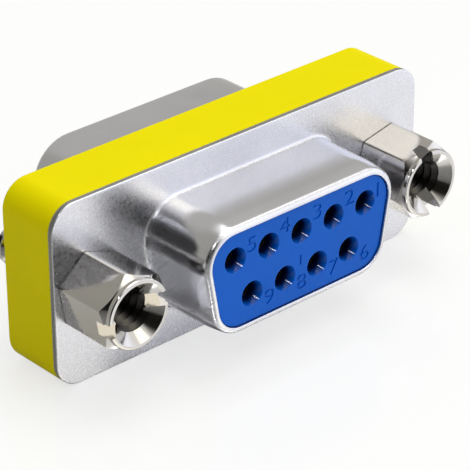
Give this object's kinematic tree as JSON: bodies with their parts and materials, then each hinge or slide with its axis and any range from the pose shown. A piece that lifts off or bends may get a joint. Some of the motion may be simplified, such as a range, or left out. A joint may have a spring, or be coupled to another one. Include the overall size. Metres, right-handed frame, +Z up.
{
  "type": "d-sub gender changer",
  "caption": "Slim D-sub gender changer: socket face in front, pins behind, a coloured band between two metal flanges, and turning hexagonal jackscrews through both ends.",
  "frame": {"origin": "middle of the face that it stands on, the band's lower long face, half-way through the body", "axes": "+X along the flange, to the right seen from the socket side; -Y out of the socket side, +Y out of the pin side; +Z up, towards the D's wide side"},
  "size_m": [0.0308, 0.0158, 0.0126],
  "materials": {
    "shell_metal": "bright plated sheet steel",
    "socket_blue": "satin moulded",
    "plug_blue": "satin moulded",
    "board_green": "glass-fibre board",
    "band_yellow": "satin moulded",
    "contact_gold": "gold flashed",
    "screw_nickel": "bright nickel plate",
    "clip_steel": "plain spring steel"
  },
  "bodies": {
    "changer": {"front_shell": "shell_metal", "rear_shell": "shell_metal", "socket_insulator_front": "socket_blue", "socket_insulator_back": "socket_blue", "plug_insulator_front": "plug_blue", "plug_insulator_back": "plug_blue", "circuit_board": "board_green", "band_upper": "band_yellow", "band_lower": "band_yellow", "socket_contact_1": "contact_gold", "pin_contact_1": "contact_gold", "socket_contact_2": "contact_gold", "pin_contact_2": "contact_gold", "socket_contact_3": "contact_gold", "pin_contact_3": "contact_gold", "socket_contact_4": "contact_gold", "pin_contact_4": "contact_gold", "socket_contact_5": "contact_gold", "pin_contact_5": "contact_gold", "socket_contact_6": "contact_gold", "pin_contact_6": "contact_gold", "socket_contact_7": "contact_gold", "pin_contact_7": "contact_gold", "socket_contact_8": "contact_gold", "pin_contact_8": "contact_gold", "socket_contact_9": "contact_gold", "pin_contact_9": "contact_gold"},
    "left_jackscrew": {"jackscrew_left": "screw_nickel", "retaining_clip_left": "clip_steel"},
    "right_jackscrew": {"jackscrew_right": "screw_nickel", "retaining_clip_right": "clip_steel"}
  },
  "joints": [
    {"name": "left_jackscrew_turn", "type": "hinge", "parent": "changer", "child": "left_jackscrew", "pos_m": [-0.01249, 0, 0.00628], "axis": [0, 1, 0], "continuous": true},
    {"name": "right_jackscrew_turn", "type": "hinge", "parent": "changer", "child": "right_jackscrew", "pos_m": [0.01249, 0, 0.00628], "axis": [0, 1, 0], "continuous": true}
  ]
}
